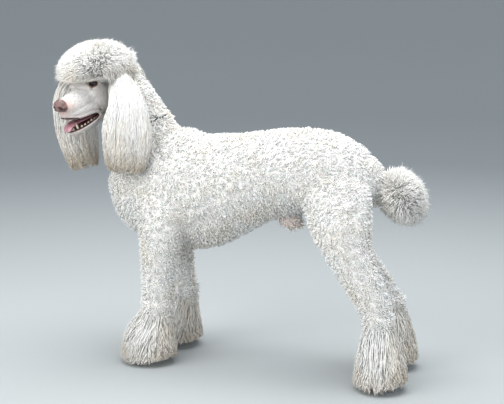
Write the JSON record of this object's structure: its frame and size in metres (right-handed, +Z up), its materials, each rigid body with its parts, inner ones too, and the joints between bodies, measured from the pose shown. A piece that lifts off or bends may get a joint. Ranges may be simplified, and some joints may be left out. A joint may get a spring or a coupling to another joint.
{
  "type": "standard poodle",
  "caption": "Life-size still model of a white standard poodle in a short clip, standing with its head turned and mouth open, with a collar and tag.",
  "frame": {"origin": "on the floor, under the middle of the whole dog's box", "axes": "+Z up, -X the way the body faces, -Y the dog's left side, towards which the head is turned"},
  "size_m": [1.0174, 0.3634, 0.8585],
  "materials": {
    "coat": "curly white fleece, cream in places",
    "shaved_face": "pinkish skin under very short white hair",
    "nose_leather": "moist liver brown",
    "tongue": "moist pink",
    "eye": "wet dark brown",
    "collar_webbing": "black webbing",
    "ring_steel": "plain steel wire",
    "tag_enamel": "blue enamel, plain"
  },
  "bodies": {
    "root": {"torso": "coat", "neck": "coat", "topknot": "coat", "ear_left": "coat", "ear_right": "coat", "foreleg_left": "coat", "foreleg_right": "coat", "forefoot_left": "coat", "forefoot_right": "coat", "hindleg_left": "coat", "hindleg_right": "coat", "hindfoot_left": "coat", "hindfoot_right": "coat", "tail_pompon": "coat", "head": "shaved_face", "lower_jaw": "shaved_face", "tail": "shaved_face", "nose": "nose_leather", "tongue": "tongue", "eye_left": "eye", "eye_right": "eye", "collar": "collar_webbing", "tag_ring": "ring_steel", "collar_tag": "tag_enamel"}
  },
  "joints": []
}
